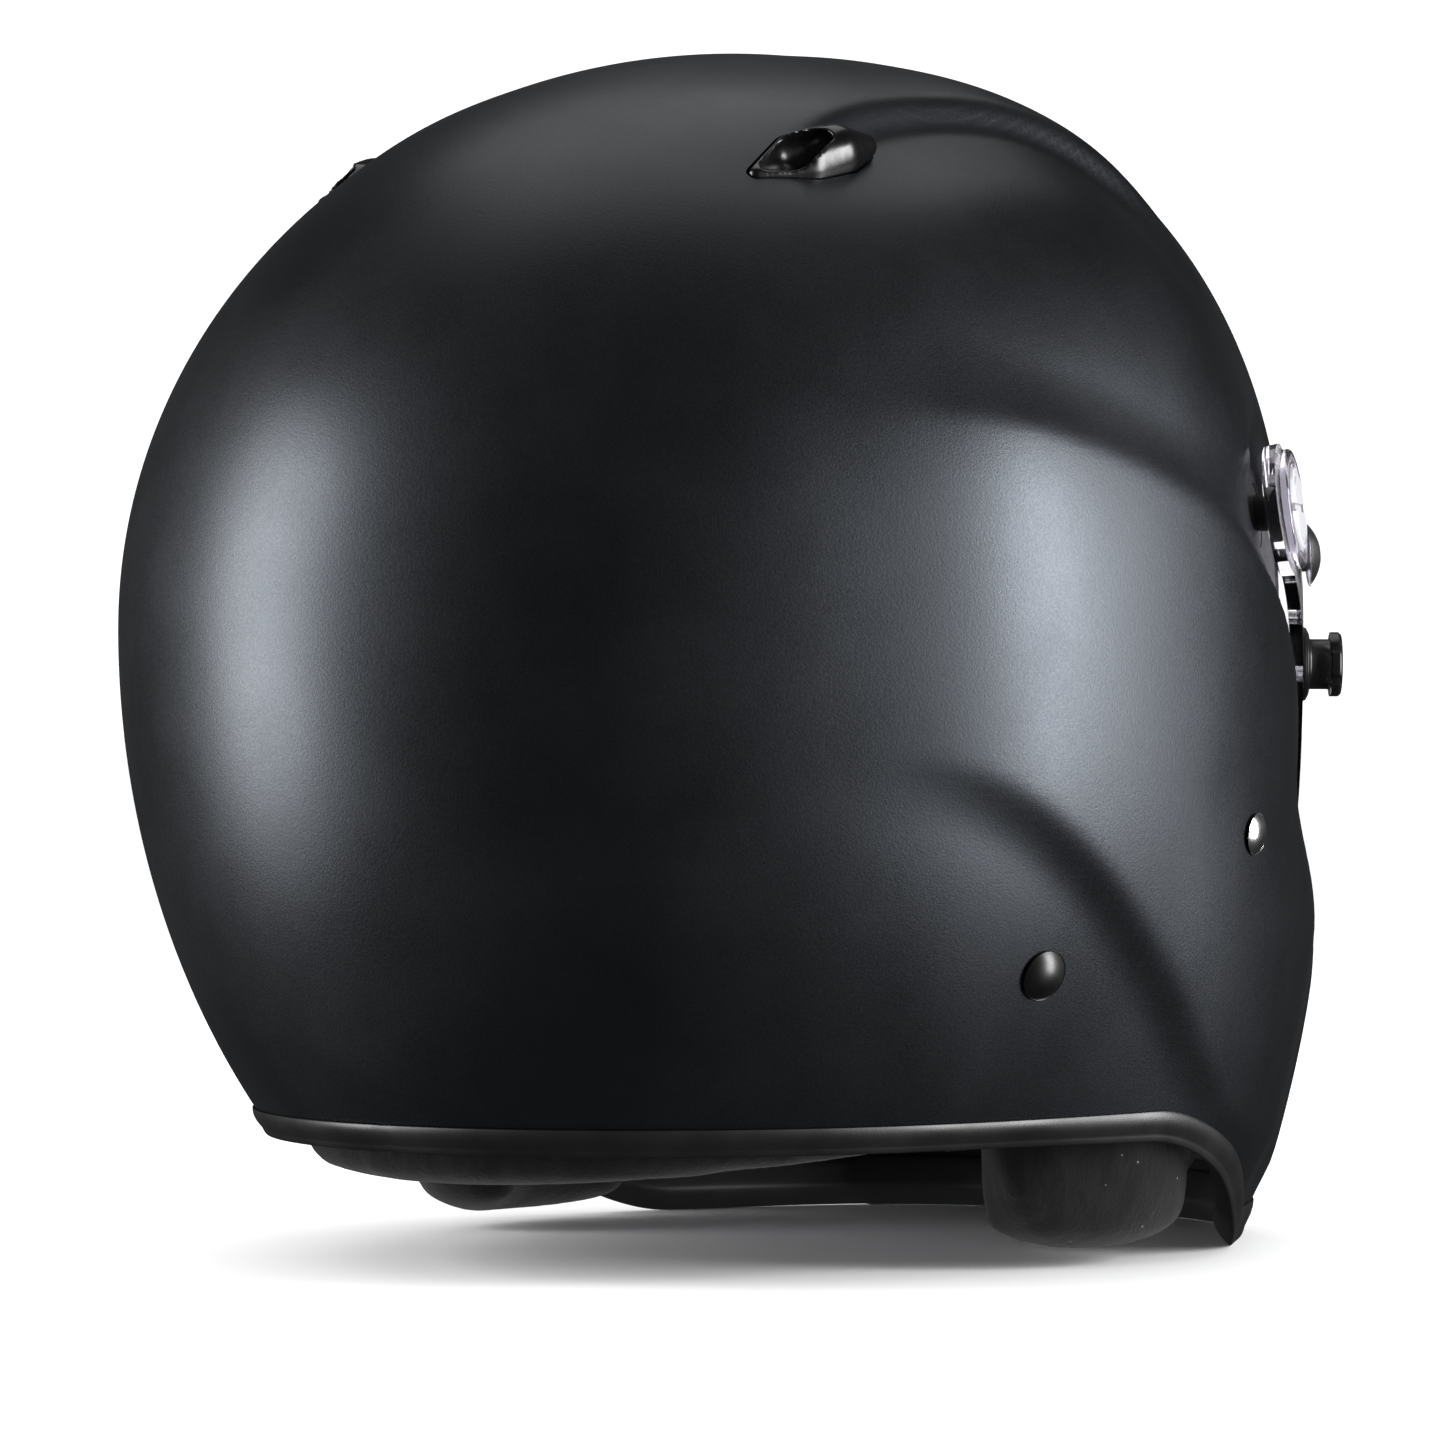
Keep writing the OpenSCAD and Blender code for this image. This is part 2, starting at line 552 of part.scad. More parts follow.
// Steel D: a straight bar in the band's loop and a half round below it
module d_ring(x) {
    translate([x, strap_y, ring_z]) {
        rotate([90, 0, 0]) cylinder(h = 2 * ring_r, r = ring_wire, center = true);
        for (y = [-ring_r, ring_r]) translate([0, y, 0]) sphere(ring_wire);
        rotate([90, 0, 90]) rotate([0, 0, 180]) rotate_extrude(angle = 180)
            translate([ring_r, 0]) circle(ring_wire);
    }
}
module d_ring_outer() color("#b9bbbf") place() d_ring(ring_x[0]);
module d_ring_inner() color("#b9bbbf") place() d_ring(ring_x[1]);

shell();
bottom_trim();
eyeport_gasket();
eps_liner();
chin_foam();
comfort_liner();
neck_roll();
cheek_pad_left();
cheek_pad_right();
rear_vent_left();
rear_vent_right();
chin_vent_grille();
pivot_base_left();
pivot_base_right();
visor();
ear_rim_left();
ear_rim_right();
pivot_cap_left();
pivot_cap_right();
visor_screws();
visor_spacers();
tear_off_posts();
tear_off_washers();
tear_off_screws();
strap_rivets();
rivet_washers();
anchor_inserts();
anchor_plugs();
strap_long();
strap_short();
d_ring_outer();
d_ring_inner();
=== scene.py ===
from math import acos, asin, atan2, cos, degrees, hypot, pi, radians, sin, sqrt, tau

import bmesh
import bpy
from mathutils import Matrix, Vector


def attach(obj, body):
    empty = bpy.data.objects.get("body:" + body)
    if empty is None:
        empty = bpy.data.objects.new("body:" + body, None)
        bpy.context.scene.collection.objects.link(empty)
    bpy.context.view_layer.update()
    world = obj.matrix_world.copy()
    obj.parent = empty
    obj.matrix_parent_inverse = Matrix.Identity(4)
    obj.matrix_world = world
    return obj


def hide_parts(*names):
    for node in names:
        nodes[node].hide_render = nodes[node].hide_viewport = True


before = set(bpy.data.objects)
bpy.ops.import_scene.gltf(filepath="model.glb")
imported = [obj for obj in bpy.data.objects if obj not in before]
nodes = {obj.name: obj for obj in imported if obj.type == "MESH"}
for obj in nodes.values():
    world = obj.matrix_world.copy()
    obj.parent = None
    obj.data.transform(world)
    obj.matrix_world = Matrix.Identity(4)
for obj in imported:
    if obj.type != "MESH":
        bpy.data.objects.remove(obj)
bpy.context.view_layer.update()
print("frame loaded")

# The shell's shape, in millimetres and degrees, measured from its centre
centre = Vector((0, -5.21, 140.61))
wall = 4
pivotAt, screwAt, postAt = (69, 12), (48.8, 8), (48.8, -3.3)
rivetAt, anchorAt = (82, -19.6), (110, -32.5)
earRadius = 6.6
edgeLevel = -111.7
visorIn, visorOut = 0.5, 3.5
panelHeight = 3


def smooth(t):
    u = min(max(t, 0), 1)
    return u * u * (3 - 2 * u)


def mix(p, q, t):
    return p + (q - p) * t


def dcos(a):
    return cos(radians(a))


def dsin(a):
    return sin(radians(a))


# Distance from the centre to the smooth shell, without ribs, panels or chin, at azimuth a and elevation e
def bare(a, e):
    k = smooth(dcos(a) + 0.5)
    length = mix(160.6, 138.8, k)
    plan = mix(2, 1.68, k * smooth(abs(a) / 45))
    profile = mix(2.01, 2.29, k)
    height = 131 if e > 0 else mix(172, 222, smooth(dcos(a) + 0.35))
    side = abs(dsin(a) * dcos(e)) / 126
    front = abs(dcos(a) * dcos(e)) / length
    level = (side**plan + front**plan) ** (1 / plan)
    return (level**profile + (abs(dsin(e)) / height) ** profile) ** (-1 / profile)


def ear(a):
    d = (abs(a) - pivotAt[0]) / earRadius
    return sqrt(max(0, 1 - d * d)) * earRadius


def visorTop(a):
    if abs(a) > pivotAt[0]:
        return pivotAt[1] + ear(a)
    lobe = pivotAt[1] + ear(a) if abs(a) > pivotAt[0] - earRadius else 0
    return max(mix(18, 11.5, smooth(abs(a) / 52)), lobe)


def visorBottom(a):
    if abs(a) > pivotAt[0]:
        return pivotAt[1] - ear(a)
    if abs(a) > 61:
        return mix(0.5, pivotAt[1] - earRadius, (abs(a) - 61) / (pivotAt[0] - 61))
    return mix(-18, 0.5, smooth((abs(a) - 54) / 7))


def pocketBottom(a):
    return visorBottom(abs(a) - 1.3)


def panel(a, e):
    upper = 20 - 13 * (max(0, 124 - abs(a)) / 44) ** 2
    upper = min(upper, pocketBottom(a) - 2.8 if abs(a) < 77 else 20)
    lower = -13 - 32 * smooth(((132 - abs(a)) / 64 - 0.05) / 0.95)
    foot = mix(8, 2, smooth((84 - abs(a)) / 8))
    above = min(1, max(0, (upper - 1 - e) / foot + 1)) ** 2
    below = min(1, max(0, (e - lower - 1) / 6 + 1)) ** 2
    return panelHeight * above * below * smooth((136 - abs(a)) / 26)


def chin(a, e):
    jaw = 7.7 * smooth((dcos(a) + 0.1) / 0.75) * smooth((-15.1 - e) / 13.8)
    return jaw + 13 * smooth((dcos(a) - 0.6) / 0.4) * smooth((-19.5 - e) / 12)


def pocket(a, e):
    sheet = smooth((visorTop(a) + 5 - e) / 4) * smooth((e - pocketBottom(a) + 3) / 1.6)
    hub = hypot((abs(a) - pivotAt[0]) * dcos(e), e - pivotAt[1])
    return -2.6 * sheet * smooth((80 - abs(a)) / 2.5) - 1.4 * smooth((9.2 - hub) / 1.5)


def ribs(a, e):
    if e < 0:
        return 0
    side = degrees(asin(min(1, abs(dsin(a)) * dcos(e))))
    along = degrees(atan2(-dcos(a) * dcos(e), dsin(e)))
    d = side - (26 + 15 * min(max((30 - along) / 50, -0.2), 1.2) ** 3)
    if d < 0:
        shape = 2 * smooth((d + 17) / 17)
    elif d < 3.6:
        shape = mix(2, -3, smooth(d / 3.6))
    else:
        shape = -3 * (1 - smooth((d - 3.6) / 16))
    return shape * smooth((along + 25) / 13) * smooth((42 - along) / 20)


def outside(a, e):
    return bare(a, e) + chin(a, e) + panel(a, e) + pocket(a, e) + ribs(a, e)


def hullLine(a, e):
    return min(outside(a, e), bare(a, e) + chin(a, e))


def heading(a, e):
    return Vector((dsin(a) * dcos(e), -dcos(a) * dcos(e), dsin(e)))


def onShell(a, e, off=0):
    return heading(a, e) * (outside(a, e) + off)


def onBare(a, e, off=0):
    return heading(a, e) * (bare(a, e) + off)


def elevation(a, z, off=0):
    e = -30
    for _ in range(14):
        e = degrees(atan2(z, (outside(a, e) + off) * dcos(e)))
    return e


def edgeHeight(a):
    return edgeLevel - 28 * smooth((88 - abs(a)) / 40)


edgeCache = {}


def edge(a):
    key = round(a, 4)
    if key not in edgeCache:
        edgeCache[key] = elevation(a, edgeHeight(a) + 1.5)
    return edgeCache[key]


# Makes an object of a bmesh, smooth shaded but for edges sharper than sharp degrees
def linkMesh(name, mesh, sharp=None):
    data = bpy.data.meshes.new(name)
    mesh.to_mesh(data)
    mesh.free()
    for face in data.polygons:
        face.use_smooth = True
    if sharp:
        data.set_sharp_from_angle(angle=radians(sharp))
    piece = bpy.data.objects.new(name, data)
    bpy.context.scene.collection.objects.link(piece)
    return piece


def smoothShade(piece):
    for face in piece.data.polygons:
        face.use_smooth = True


def toRow(point):
    return (point + centre) * 0.001


# A grid whose every corner goes to place(u, v), in mm from the shell's centre
# Corners that meet are merged, so a grid that comes back to its start closes
# Its UV map holds u and v times size, in metres
def gridPiece(name, across, along, place, sharp=None, fill=False, size=(1, 1)):
    mesh = bmesh.new()
    bmesh.ops.create_grid(mesh, x_segments=across, y_segments=along, size=0.5)
    places = {}
    for vert in mesh.verts:
        column, row = round((vert.co.x + 0.5) * across), round((vert.co.y + 0.5) * along)
        places[vert] = (column / across, row / along)
    layer = mesh.loops.layers.uv.new("cut")
    for face in mesh.faces:
        for loop in face.loops:
            u, v = places[loop.vert]
            loop[layer].uv = (u * size[0], v * size[1])
    for vert, (u, v) in places.items():
        vert.co = toRow(place(u, v))
    bmesh.ops.remove_doubles(mesh, verts=mesh.verts, dist=2e-6)
    if fill:
        bmesh.ops.holes_fill(mesh, edges=[e for e in mesh.edges if e.is_boundary], sides=0)
    bmesh.ops.recalc_face_normals(mesh, faces=mesh.faces)
    return linkMesh(name, mesh, sharp)


# A place on a smooth curve through the points, t from 0 to 1
def curveAt(points, t, closed):
    n = len(points)
    s = t * n if closed else t * (n - 1)
    i = min(int(s), n - 1 if closed else n - 2)
    f = s - i
    pick = (lambda k: points[k % n]) if closed else (lambda k: points[min(max(k, 0), n - 1)])
    p0, p1, p2, p3 = (pick(i + k) for k in (-1, 0, 1, 2))
    return tuple(
        0.5 * (2 * b + (c - a) * f + (2 * a - 5 * b + 4 * c - d) * f * f + (3 * b - a - 3 * c + d) * f**3)
        for a, b, c, d in zip(p0, p1, p2, p3)
    )


# Matrix that puts a shape on the bare shell, standing outward. Side -1 is the wearer's right
def standOn(at, off, side=1):
    step = 0.5
    across = onBare(at[0] + step, at[1], off) - onBare(at[0] - step, at[1], off)
    up = onBare(at[0], at[1] + step, off) - onBare(at[0], at[1] - step, off)
    out = across.cross(up).normalized()
    turn = Matrix.Rotation(atan2(out.y, out.x), 4, "Z") @ Matrix.Rotation(acos(out.z), 4, "Y")
    whole = Matrix.Translation(onBare(at[0], at[1], off)) @ turn
    if side < 0:
        whole = Matrix.Scale(-1, 4, (1, 0, 0)) @ whole
    return Matrix.Scale(0.001, 4) @ Matrix.Translation(centre) @ whole


# Spins an outline of (radius, height) about z and puts it where the matrix says
def lathe(mesh, profile, matrix, steps=72):
    verts = [mesh.verts.new((r, 0, z)) for r, z in profile]
    legs = len(verts) - 1 if profile[0][0] == 0 else len(verts)  # from the axis, it stays open
    edges = [mesh.edges.new((verts[i], verts[(i + 1) % len(verts)])) for i in range(legs)]
    bmesh.ops.spin(
        mesh, geom=verts + edges, cent=(0, 0, 0), axis=(0, 0, 1), angle=tau, steps=steps, use_merge=True
    )
    bmesh.ops.remove_doubles(mesh, verts=mesh.verts, dist=1e-4)
    bmesh.ops.transform(mesh, matrix=matrix, verts=mesh.verts)


def lathePiece(name, profile, places, sharp=40, steps=72):
    mesh = bmesh.new()
    for matrix in places:
        part = bmesh.new()
        lathe(part, profile, matrix, steps)
        bmesh.ops.recalc_face_normals(part, faces=part.faces)
        hold = bpy.data.meshes.new("hold")
        part.to_mesh(hold)
        part.free()
        mesh.from_mesh(hold)
        bpy.data.meshes.remove(hold)
    return linkMesh(name, mesh, sharp)


# Turns a piece's modifiers into its mesh
def bakeModifiers(piece):
    graph = bpy.context.evaluated_depsgraph_get()
    data = bpy.data.meshes.new_from_object(piece.evaluated_get(graph))
    piece.modifiers.clear()
    piece.data = data
    return piece


def carve(piece, cutters, mode="DIFFERENCE"):
    for cutter in cutters:
        step = piece.modifiers.new("cut", "BOOLEAN")
        step.object, step.operation, step.solver = cutter, mode, "MANIFOLD"
    bakeModifiers(piece)
    for cutter in cutters:
        bpy.data.objects.remove(cutter)


# Convex hull round balls given as (place, radius)
def hullOfBalls(name, balls, grow=0, side=1, fineness=4):
    mesh = bmesh.new()
    for place, radius in balls:
        spot = Matrix.Translation(toRow(Vector((place.x * side, place.y, place.z))))
        bmesh.ops.create_icosphere(mesh, subdivisions=fineness, radius=(radius + grow) * 0.001, matrix=spot)
    made = bmesh.ops.convex_hull(mesh, input=mesh.verts)
    loose = [g for g in made["geom_interior"] if isinstance(g, bmesh.types.BMVert)]
    bmesh.ops.delete(mesh, geom=loose, context="VERTS")
    kept = {f for f in made["geom"] if isinstance(f, bmesh.types.BMFace)}
    bmesh.ops.delete(mesh, geom=[f for f in mesh.faces if f not in kept], context="FACES")
    bmesh.ops.recalc_face_normals(mesh, faces=mesh.faces)
    return linkMesh(name, mesh)


def finishPiece(piece, material, body, replaced):
    piece.data.materials.clear()
    piece.data.materials.append(material)
    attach(piece, body)
    if replaced:
        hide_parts(*replaced)


def remeshed(piece, voxel, smoothing=0):
    step = piece.modifiers.new("remesh", "REMESH")
    step.mode, step.voxel_size = "VOXEL", voxel
    step.use_smooth_shade = True
    if smoothing:
        blur = piece.modifiers.new("blur", "SMOOTH")
        blur.factor, blur.iterations = 0.5, smoothing
    return bakeModifiers(piece)


# Rounds the edges sharper than angle, by a width in mm
def bevelled(piece, width, angle=35, segments=2, resharpen=True):
    step = piece.modifiers.new("soft_edge", "BEVEL")
    step.width, step.segments = width * 0.001, segments
    step.limit_method, step.angle_limit = "ANGLE", radians(angle)
    bakeModifiers(piece)
    smoothShade(piece)
    if resharpen:
        piece.data.set_sharp_from_angle(angle=radians(50))


# A material's node tree, with short calls for what the recipes share
class Recipe:
    def __init__(self, name, **values):
        self.material = bpy.data.materials.new(name)
        self.material.use_nodes = True
        self.tree = self.material.node_tree
        self.shader = self.tree.nodes["Principled BSDF"]
        self.spot = self.tree.nodes.new("ShaderNodeTexCoord")
        for key, value in values.items():
            self.shader.inputs[key.replace("_", " ")].default_value = value
        self.normal = None

    def link(self, a, b):
        self.tree.links.new(a, b)

    def noise(self, scale, detail=4, rough=0.55, source="Object", stretch=None):
        node = self.tree.nodes.new("ShaderNodeTexNoise")
        node.inputs["Scale"].default_value = scale
        node.inputs["Detail"].default_value = detail
        node.inputs["Roughness"].default_value = rough
        self.link(self.place(source, stretch), node.inputs["Vector"])
        return node.outputs["Fac"]

    def place(self, source, stretch):
        if not stretch:
            return self.spot.outputs[source]
        node = self.tree.nodes.new("ShaderNodeMapping")
        node.inputs["Scale"].default_value = stretch
        self.link(self.spot.outputs[source], node.inputs["Vector"])
        return node.outputs["Vector"]

    def cells(self, scale, source="Object", feature="F1", stretch=None):
        node = self.tree.nodes.new("ShaderNodeTexVoronoi")
        node.feature = feature
        node.inputs["Scale"].default_value = scale
        self.link(self.place(source, stretch), node.inputs["Vector"])
        return node.outputs["Distance"]

    def wave(self, scale, direction="X", distortion=0, source="UV"):
        node = self.tree.nodes.new("ShaderNodeTexWave")
        node.bands_direction = direction
        node.inputs["Scale"].default_value = scale
        node.inputs["Distortion"].default_value = distortion
        self.link(self.spot.outputs[source], node.inputs["Vector"])
        return node.outputs["Fac"]

    def math(self, kind, a, b):
        node = self.tree.nodes.new("ShaderNodeMath")
        node.operation = kind
        for socket, value in zip(node.inputs, (a, b)):
            if isinstance(value, (int, float)):
                socket.default_value = value
            else:
                self.link(value, socket)
        return node.outputs[0]

    def ramp(self, value, low, high, start, end):
        node = self.tree.nodes.new("ShaderNodeMapRange")
        for key, number in zip(("From Min", "From Max", "To Min", "To Max"), (low, high, start, end)):
            node.inputs[key].default_value = number
        self.link(value, node.inputs["Value"])
        return node.outputs["Result"]

    def tint(self, value, first, second):
        node = self.tree.nodes.new("ShaderNodeMix")
        node.data_type = "RGBA"
        node.inputs["A"].default_value = (*first, 1)
        node.inputs["B"].default_value = (*second, 1)
        self.link(value, node.inputs["Factor"])
        return node.outputs["Result"]

    def colour(self, socket):
        self.link(socket, self.shader.inputs["Base Color"])

    def roughness(self, socket):
        self.link(socket, self.shader.inputs["Roughness"])

    def bump(self, value, strength, distance):
        node = self.tree.nodes.new("ShaderNodeBump")
        node.inputs["Strength"].default_value = strength
        node.inputs["Distance"].default_value = distance
        self.link(value, node.inputs["Height"])
        if self.normal:
            self.link(self.normal, node.inputs["Normal"])
        self.normal = node.outputs["Normal"]
        self.link(self.normal, self.shader.inputs["Normal"])


def grey(v):
    return (v, v, v * 1.02)


def shellCoat():
    # The bluish specular tint is painted light colour: it gives the coat's reflections the softboxes' blue,
    # since the lamps themselves are left white
    made = Recipe("shell_coat", Specular_IOR_Level=0.5, Specular_Tint=(0.8, 0.88, 1.0, 1))
    grain = made.noise(1900, 3, 0.6)
    dust = made.ramp(made.cells(420), 0.03, 0.07, 1, 0)
    blotch = made.noise(26, 4)
    darker, lighter = (0.0018, 0.0019, 0.0022), (0.0026, 0.0027, 0.0031)
    made.colour(made.tint(made.ramp(blotch, 0.3, 0.7, 0, 1), darker, lighter))
    fine, broad = made.ramp(grain, 0.3, 0.7, 0.34, 0.42), made.ramp(blotch, 0.3, 0.7, -0.03, 0.04)
    made.roughness(made.math("ADD", fine, broad))
    made.bump(grain, 0.3, 0.00012)
    made.bump(dust, 0.08, 0.00004)
    return made.material


def rubber(name, base, rough):
    made = Recipe(name, Specular_IOR_Level=0.45)
    grain = made.noise(1500, 3)
    broad = made.noise(60, 3)
    made.colour(made.tint(made.ramp(broad, 0.3, 0.7, 0, 1), grey(base * 0.85), grey(base * 1.2)))
    made.roughness(made.ramp(broad, 0.3, 0.7, rough - 0.05, rough + 0.07))
    made.bump(grain, 0.15, 0.0001)
    return made.material


def plastic(name, base, rough, grainSize=1600, grainStrength=0.12):
    made = Recipe(name)
    grain = made.noise(grainSize, 3)
    smear = made.noise(90, 5)
    made.colour(made.tint(made.ramp(smear, 0.3, 0.7, 0, 1), grey(base * 0.85), grey(base * 1.15)))
    made.roughness(made.ramp(smear, 0.3, 0.7, rough * 0.8, rough * 1.3))
    made.bump(grain, grainStrength, 0.00008)
    return made.material


def metal(name, base, rough, scratch=0.1):
    made = Recipe(name, Metallic=1.0)
    smear = made.noise(140, 5)
    lines = made.noise(500, 2, stretch=(1, 1, 9))
    made.colour(made.tint(made.ramp(smear, 0.3, 0.7, 0, 1), tuple(c * 0.93 for c in base), base))
    made.roughness(made.ramp(smear, 0.3, 0.7, rough * 0.75, rough * 1.4))
    made.bump(lines, scratch, 0.00003)
    return made.material


def clear(name, tint, rough, smearing, transmission=1.0, ior=1.58):
    made = Recipe(name, Transmission_Weight=transmission, IOR=ior)
    smear = made.noise(35, 5)
    made.colour(made.tint(made.ramp(smear, 0.3, 0.7, 0, 1), tint, tuple(min(1, c * 1.02) for c in tint)))
    made.roughness(made.ramp(smear, 0.45, 0.75, rough, rough + smearing))
    made.bump(made.noise(400, 2), 0.01, 0.00003)
    return made.material


# Brushed cloth: short fuzz over a soft knit, with a few pale specks of lint
def fleece(name, base, fuzz, knit=0):
    made = Recipe(name, Roughness=0.95, Sheen_Weight=0.06, Sheen_Roughness=0.5, Specular_IOR_Level=0.1)
    nap = made.noise(950, 5, 0.7)
    clumps = made.noise(170, 4, 0.6, stretch=(1, 1, 0.55))
    lint = made.ramp(made.cells(160), 0.035, 0.06, 1, 0)
    cloth = made.tint(made.ramp(clumps, 0.3, 0.7, 0, 1), grey(base * 0.6), grey(base * 1.5))
    mixed = made.tree.nodes.new("ShaderNodeMix")
    mixed.data_type = "RGBA"
    made.link(made.math("MULTIPLY", lint, 0.55), mixed.inputs["Factor"])
    made.link(cloth, mixed.inputs["A"])
    mixed.inputs["B"].default_value = (0.16, 0.16, 0.165, 1)
    made.colour(mixed.outputs["Result"])
    made.bump(clumps, 0.5, 0.0009)
    made.bump(nap, fuzz, 0.0004)
    if knit:
        made.bump(made.cells(knit, stretch=(1, 1, 1.5)), 0.5, 0.0003)
    return made.material


def webbing():
    made = Recipe("webbing", Roughness=0.6, Sheen_Weight=0.05, Specular_IOR_Level=0.3)
    rows = made.wave(260, "Y")
    ends = made.wave(330, "X")
    weave = made.math("MULTIPLY", rows, ends)
    made.colour(made.tint(made.ramp(weave, 0, 1, 0, 1), (0.003, 0.003, 0.0033), (0.011, 0.011, 0.012)))
    made.bump(weave, 0.8, 0.00025)
    made.bump(made.noise(2500, 3), 0.2, 0.0001)
    return made.material


def beadFoam():
    made = Recipe("bead_foam", Roughness=0.75, Specular_IOR_Level=0.3)
    beads = made.cells(300)
    made.colour(made.tint(made.ramp(beads, 0, 0.6, 0, 1), (0.02, 0.02, 0.021), (0.008, 0.008, 0.0085)))
    made.bump(beads, 0.6, 0.0005)
    made.bump(made.noise(1200, 3), 0.2, 0.0001)
    return made.material


def pale():
    made = Recipe("studio_floor", Roughness=0.85, Specular_IOR_Level=0.1)
    made.colour(made.tint(made.noise(3, 3), (0.86, 0.86, 0.865), (0.88, 0.88, 0.885)))
    return made.material


coat = shellCoat()
trimRubber = rubber("trim_rubber", 0.0045, 0.4)
gasketRubber = rubber("gasket_rubber", 0.008, 0.55)
foam = beadFoam()
liningCloth = fleece("lining_cloth", 0.008, 0.5, 420)
padCloth = fleece("pad_cloth", 0.0035, 0.7)
glossBlack = plastic("gloss_black", 0.002, 0.26, 500, 0.02)
matteBlack = plastic("matte_black", 0.006, 0.5)
satinBlack = plastic("satin_black", 0.004, 0.32, 1800, 0.08)
plugBlack = plastic("plug_black", 0.002, 0.36, 900, 0.05)
visorClear = clear("visor_clear", (0.93, 0.9, 0.965), 0.01, 0.03)
rimClear = clear("rim_clear", (0.9, 0.86, 0.95), 0.06, 0.05)
capMilk = clear("cap_milk", (0.45, 0.45, 0.48), 0.3, 0.1, 0.3, 1.5)
chrome = metal("chrome", (0.86, 0.87, 0.88), 0.2, 0.02)
steel = metal("steel", (0.66, 0.665, 0.68), 0.2)
zinc = metal("zinc", (0.55, 0.56, 0.58), 0.32)
spacerGrey = metal("spacer_grey", (0.38, 0.385, 0.4), 0.4)
strapCloth = webbing()
print("materials made")

# Pieces of the frame that stay as they are, with what each is made of
kept = {
    "eps_liner": foam, "chin_foam": foam, "chin_vent_grille": matteBlack,
    "pivot_base_left": matteBlack, "pivot_base_right": matteBlack,
    "visor_spacers": spacerGrey, "tear_off_screws": zinc, "rivet_washers": zinc,
    "anchor_inserts": zinc, "d_ring_outer": steel, "d_ring_inner": steel,
}
for name, material in kept.items():
    for slot in nodes[name].material_slots:
        slot.material = material

shellForm = {"around": 300, "rows": 144, "smoothing": 4, "sharp": 35}


def shellSpot(u, v):
    a = 360 * u - 180
    return onShell(a, mix(edge(a), 90, v))


shell = gridPiece("shell_skin", shellForm["around"], shellForm["rows"], shellSpot)
step = shell.modifiers.new("blur", "SMOOTH")
step.factor, step.iterations = 0.5, shellForm["smoothing"]
step = shell.modifiers.new("wall", "SOLIDIFY")
step.thickness, step.offset = wall * 0.001, -1
bakeModifiers(shell)

eyeport = {"half": 88, "tall": 75, "mid": -1.5, "round": 24}


# Place (x, z) and outward direction on the eyeport's rounded rectangle, t from 0 to 1
def eyeportSpot(t, grow=0):
    x, z, r = eyeport["half"] - eyeport["round"], eyeport["tall"] / 2 - eyeport["round"], eyeport["round"]
    arc = pi / 2 * r
    legs = [arc, 2 * x, arc, 2 * z, arc, 2 * x, arc, 2 * z]
    s = (t % 1) * sum(legs)
    for k, leg in enumerate(legs):
        if s <= leg or k == 7:
            break
        s -= leg
    corners = [(x, z), (-x, z), (-x, -z), (x, -z)]
    here, quarter = corners[k // 2], 90 * (k // 2)
    if k % 2 == 0:
        out = (dcos(quarter + 90 * s / leg), dsin(quarter + 90 * s / leg))
    else:
        there = corners[(k // 2 + 1) % 4]
        here = (mix(here[0], there[0], s / leg), mix(here[1], there[1], s / leg))
        out = (dcos(quarter + 90), dsin(quarter + 90))
    return (here[0] + (r + grow) * out[0], eyeport["mid"] + here[1] + (r + grow) * out[1]), out


# Solid through an outline of (x, z) from one y to another
def prism(name, outline, near, far):
    def spot(u, v):
        x, z = outline[round(u * len(outline)) % len(outline)]
        return Vector((x, mix(near, far, v), z))

    return gridPiece(name, len(outline), 1, spot, fill=True)


def drill(name, at, off, radius, length, side):
    half = length / 2
    outline = [(0, -half), (radius, -half), (radius, half), (0, half)]
    return lathePiece(name, outline, [standOn(at, off, side)], steps=48)


# A place off the smooth shell, by degrees to the side and degrees back from the top
def onCrown(side, along, off):
    d = Vector((dsin(side), dcos(side) * dsin(along), dcos(side) * dcos(along)))
    return d * (bare(degrees(atan2(d.x, -d.y)), degrees(asin(d.z))) + off)


# Balls as (degrees to the side, degrees back from the top, off the shell, radius)
scoopForm = {
    "hull": [(30.6, 24, -1, 2.8), (29.4, 28.6, -1.4, 6.6), (28.2, 32.6, -2, 7.2), (26.5, 38.8, -0.5, 1.8)],
    "mouth": [(28.9, 30.6, 2.4, 3.2), (28, 33.6, 1.8, 4.6), (27, 37.6, 2.4, 2.0), (27.9, 37, 6, 3.4)],
    "gap": 0.45, "voxel": 0.0005, "smoothing": 14, "sunk": 0.4,
}
scoopBalls = [(onCrown(*spot), radius) for *spot, radius in scoopForm["hull"]]
mouthBalls = [(onCrown(*spot), radius) for *spot, radius in scoopForm["mouth"]]

# The chin vent's slot is two round ends, joined
chinSlot = {"half": 24, "radius": 5.5, "height": -72, "steps": 12}
slotOutline = []
for end in (1, -1):
    for k in range(chinSlot["steps"]):
        turn = 180 * k / (chinSlot["steps"] - 1) + (0 if end > 0 else 180)
        slotOutline.append((
            chinSlot["half"] * end + chinSlot["radius"] * dsin(turn),
            chinSlot["height"] + chinSlot["radius"] * dcos(turn),
        ))
openingDepth = -220
shellHoles = {
    "cut_rivet": (rivetAt, panelHeight, 2.6, 30),
    "cut_anchor": (anchorAt, 0, 4.6, 24),
    "cut_pivot": (pivotAt, 0, 7.2, 30),
}
cutters = [
    prism("cut_eyeport", [eyeportSpot(k / 160)[0] for k in range(160)], openingDepth, 0),
    prism("cut_slot", slotOutline, openingDepth, 0),
]
for side in (-1, 1):
    cutters.append(hullOfBalls("cut_scoop", scoopBalls, scoopForm["gap"], side))
    for name, (at, off, radius, length) in shellHoles.items():
        cutters.append(drill(name, at, off, radius, length, side))
carve(shell, cutters)
smoothShade(shell)
shell.data.set_sharp_from_angle(angle=radians(shellForm["sharp"]))
finishPiece(shell, coat, "helmet", ["shell"])
print("shell made", len(shell.data.polygons))


